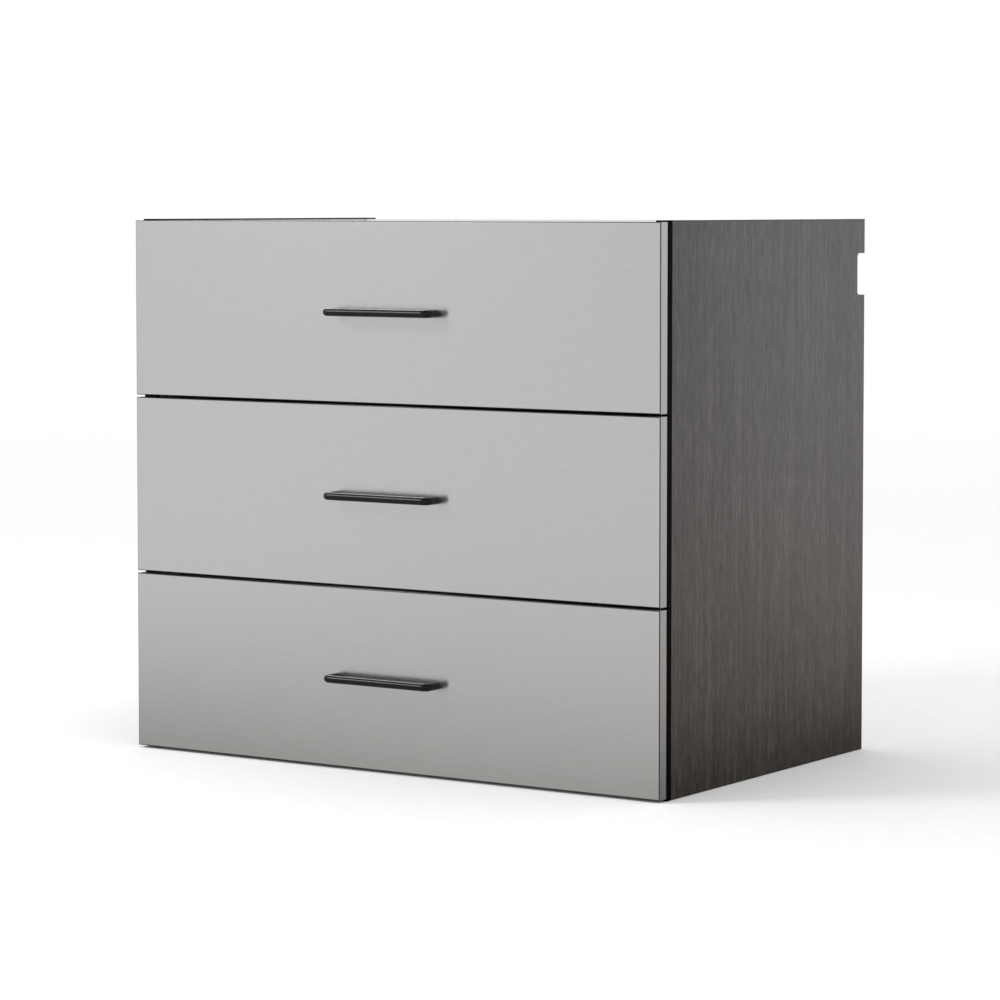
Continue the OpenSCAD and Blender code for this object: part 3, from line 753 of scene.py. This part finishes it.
STAGE_MATT = {"roughness": 0.9, "specular": 0.0}
FLOOR_HALF = 40.0
FLOOR_DROP = 0.0005
FLOOR_SHADES = ((0.92,) * 3, (0.94,) * 3)
FLOOR_FADE = (2.5, 7.0)
FRONT_Y = -ends("front_skin_top", Y)[0] * MM
BEFORE_REACH = (-0.02, 0.02)
# Levels of the painted shade and painted shadow that glossy rays see on the glowing floor, by metres ahead of
# the drawer fronts and by metres from the middle to a side
MIRRORED_LENGTH = 6.0
PAINTED_SHADE_AHEAD = [
    (0.08, 0.55), (0.19, 0.60), (0.42, 0.665), (0.75, 0.735),
    (1.16, 0.82), (1.58, 0.885), (2.4, 0.945), (5.8, 1.0),
]
PAINTED_SHADOW_BESIDE = [(0.50, 0.04), (0.60, 0.21), (0.765, 0.465), (1.015, 0.71), (1.9, 0.87), (3.0, 0.96)]
BESIDE_TINT = (1.0, 0.86, 0.74)
# Painted shade: the shadow beside the object grows darker further forward and further out to the side
CORNER_PAINTED_SHADE = 0.72
CORNER_SLOPE = 1.75
CORNER_REACH = (-0.95, -0.72)
# Painted light and shade on the left of the glowing floor
LEFT_PAINTED_GAINS = (0.96, 1.10)
LEFT_RISE = (0.3, 1.0)
LEFT_SLOPE = 0.70
LEFT_REACH = (-0.45, 0.15)
MIRRORED_WARMTH = ((1.0, 0.985, 0.955), WHITE)
WARM_REACH = (0.1, 2.0)


def sheet_object(name, corners):
    mesh = bpy.data.meshes.new(name)
    mesh.from_pydata(corners, [], [(0, 1, 2, 3)])
    made = bpy.data.objects.new(name, mesh)
    bpy.context.scene.collection.objects.link(made)
    return made


def mirrored_stops(levels):
    return [(metres / MIRRORED_LENGTH, (level,) * 3) for metres, level in levels]


def make_floor():
    """A pale floor that runs out into the white round it. To glossy rays it glows instead, as a painted
    reflection: darker and warmer near the object through painted shade, and darkest beside it in a painted
    shadow of the object."""
    f = Finish("pale_floor", **STAGE_MATT)
    x, y, _ = f.split(f.place)
    distance = f.length(f.place)
    sideways = f.math("ABSOLUTE", x)
    f.done(f.shades(f.noise((40.0, 40.0, 40.0)), *FLOOR_SHADES))
    front = f.math("SUBTRACT", f.math("MULTIPLY", y, -1.0), FRONT_Y)
    # Painted shade: the glowing floor is darker near the drawer fronts
    ahead = f.ramp(f.math("DIVIDE", front, MIRRORED_LENGTH), mirrored_stops(PAINTED_SHADE_AHEAD))
    # Painted shadow: the glowing floor is darkest beside the object, and tinted warm there
    beside = f.ramp(f.math("DIVIDE", sideways, MIRRORED_LENGTH), mirrored_stops(PAINTED_SHADOW_BESIDE))
    beside = f.blend(1.0, beside, BESIDE_TINT, how="MULTIPLY")
    # Painted shade, darker forward and outward beside the object
    corner = f.span(f.total((y, 1.0), (sideways, -CORNER_SLOPE)), CORNER_PAINTED_SHADE, 1.0, *CORNER_REACH)
    beside = f.blend(1.0, beside, f.join(corner, corner, corner), how="MULTIPLY")
    tone = f.blend(f.span(front, 0.0, 1.0, *BEFORE_REACH), beside, ahead)
    warmth = f.blend(f.span(front, 0.0, 1.0, *WARM_REACH), *MIRRORED_WARMTH)
    # Glossy rays see the floor as this glow, a painted reflection, and not as a lit floor
    glow = f.node("ShaderNodeEmission")
    f.feed(glow.inputs["Color"], f.blend(1.0, tone, warmth, how="MULTIPLY"))
    # Painted light and shade: on the left the glow is a little darker near the front and brighter further out
    leftward = f.total((x, 1.0), (front, LEFT_SLOPE))
    left_painted_gain = f.span(front, *LEFT_PAINTED_GAINS, *LEFT_RISE)
    f.feed(glow.inputs["Strength"], f.span(leftward, left_painted_gain, 1.0, *LEFT_REACH))
    surface = f.overlay(f.is_glossy(), f.shader.outputs[0], glow.outputs[0])
    clear = f.node("ShaderNodeBsdfTransparent").outputs[0]
    faded = f.overlay(f.span(distance, 0.0, 1.0, *FLOOR_FADE), surface, clear)
    f.feed(f.tree.nodes["Material Output"].inputs["Surface"], faded)
    quarters = ((-1, -1), (1, -1), (1, 1), (-1, 1))
    floor = sheet_object("floor", [(a * FLOOR_HALF, b * FLOOR_HALF, -FLOOR_DROP) for a, b in quarters])
    floor.data.materials.append(f.material)


make_floor()


# Flags, glowing sheets that paint reflections

FLAG_TOP = 1.3
HIDDEN_FROM = ("visible_camera", "visible_diffuse", "visible_transmission", "visible_shadow")
SIDE_FLAG_LINE = ((0.92, -0.80), (0.92, 0.76))
SIDE_FLAG_TONES = (0.80, 0.36)
SIDE_FLAG_STEP = (-0.10, 0.20)
SIDE_FLAG_FADE = (0.50, 0.76)
REAR_FLAG_LINE = ((0.20, 1.50), (1.25, 1.50))
REAR_FLAG_TONES = (0.68, 0.86)
REAR_FLAG_STEP = (0.60, 1.00)
REAR_FLAG_FADE = (1.05, 1.25)


def add_painted_reflection(name, axis, line, tones, step, fade):
    """An upright glowing grey sheet over a line on the floor, which only reflections see: a painted
    reflection, darker than the white round it. Along its axis it runs from one tone to another over step, and
    fades out over fade."""
    f = Finish(name, **STAGE_MATT)
    along = f.split(f.place)[axis]
    # Painted reflection: a glow that only glossy rays see
    glow = f.node("ShaderNodeEmission")
    f.feed(glow.inputs["Strength"], f.span(along, *tones, *step))
    clear = f.node("ShaderNodeBsdfTransparent").outputs[0]
    faded = f.overlay(f.span(along, 0.0, 1.0, *fade), glow.outputs[0], clear)
    f.feed(f.tree.nodes["Material Output"].inputs["Surface"], faded)
    (x0, y0), (x1, y1) = line
    flag = sheet_object(name, [(x0, y0, 0.0), (x1, y1, 0.0), (x1, y1, FLAG_TOP), (x0, y0, FLAG_TOP)])
    flag.data.materials.append(f.material)
    for kind in HIDDEN_FROM:
        setattr(flag, kind, False)


# The first sheet paints a darker reflection on the returns of the steel and the front edge of the decor, the
# second on its rear edge
add_painted_reflection("side_flag", Y, SIDE_FLAG_LINE, SIDE_FLAG_TONES, SIDE_FLAG_STEP, SIDE_FLAG_FADE)
add_painted_reflection("rear_flag", X, REAR_FLAG_LINE, REAR_FLAG_TONES, REAR_FLAG_STEP, REAR_FLAG_FADE)


# World

# Levels round the object, by degrees from the way that the drawers open, towards +X
STUDIO_ROUND = [
    (-180, 1.00), (-110, 0.84), (-60, 0.90), (-42, 0.905), (-28, 0.84),
    (0, 0.90), (60, 0.85), (130, 1.18), (150, 1.36), (180, 1.00),
]
FULL_TURN = 360
CEILING = 0.42
CEILING_EDGE = (0.58, 0.82)
COOL_TONE = (0.985, 0.97, 1.045)
COOL_TURN = (1.4, 2.3)
LOW_GAIN = 1.08
LOW_REACH = (-0.10, 0.0)


def make_world():
    """White all round for what is lit, and the brighter and darker sides of a studio for what is mirrored."""
    world = bpy.data.worlds.new("studio")
    world.use_nodes = True
    g = Graph(world.node_tree)
    x, y, z = g.split(g.node("ShaderNodeTexCoord").outputs["Generated"])
    turn = g.math("ARCTAN2", x, g.math("MULTIPLY", y, -1.0))
    share = g.math("ADD", g.math("DIVIDE", turn, math.tau), 0.5)
    level = g.ramp(share, [(degrees / FULL_TURN + 0.5, (value,) * 3) for degrees, value in STUDIO_ROUND])
    level = g.math("MULTIPLY", level, g.span(z, 1.0, CEILING, *CEILING_EDGE))
    level = g.math("MULTIPLY", level, g.span(z, LOW_GAIN, 1.0, *LOW_REACH))
    backdrop = world.node_tree.nodes["Background"]
    glossy = g.is_glossy()
    cool = g.math("MULTIPLY", glossy, g.span(turn, 0.0, 1.0, *COOL_TURN))
    g.feed(backdrop.inputs["Color"], g.blend(cool, WHITE, COOL_TONE))
    plain = g.math("SUBTRACT", 1.0, glossy)
    g.feed(backdrop.inputs["Strength"], g.math("ADD", plain, g.math("MULTIPLY", glossy, level)))
    bpy.context.scene.world = world


make_world()


# Lamp

KEY_PLACE = (-2.0, -2.35, 2.25)
KEY_AIM = (0.0, 0.0, ends("top_bands", Z)[1] * MM / 2)
KEY_SIZE = 1.1
KEY_WATTS = 48.0


def add_lamp(name, place, aim, size, watts):
    """A square soft lamp at place, turned to aim."""
    data = bpy.data.lights.new(name, "AREA")
    data.size = size
    data.energy = watts
    lamp = bpy.data.objects.new(name, data)
    lamp.location = place
    lamp.rotation_euler = (Vector(aim) - Vector(place)).to_track_quat("-Z", "Y").to_euler()
    lamp.visible_camera = False
    bpy.context.scene.collection.objects.link(lamp)


add_lamp("key", KEY_PLACE, KEY_AIM, KEY_SIZE, KEY_WATTS)


# Camera, fitted to the edges in the photo, with its turn and its downward tilt in radians

CAMERA_PLACE = (2.6682, -3.9870, 0.740)
CAMERA_TURN = 0.5880
CAMERA_TILT = 0.0607
LENS_MM = 127.90
SENSOR_MM = 36.0
SHIFT_UP = -0.08


def make_camera():
    data = bpy.data.cameras.new("camera")
    data.lens = LENS_MM
    data.sensor_width = SENSOR_MM
    data.shift_y = SHIFT_UP
    camera = bpy.data.objects.new("camera", data)
    camera.location = CAMERA_PLACE
    camera.rotation_euler = Euler((math.pi / 2 - CAMERA_TILT, 0.0, CAMERA_TURN))
    bpy.context.scene.collection.objects.link(camera)
    bpy.context.scene.camera = camera


make_camera()
bpy.context.scene.view_settings.view_transform = "Standard"
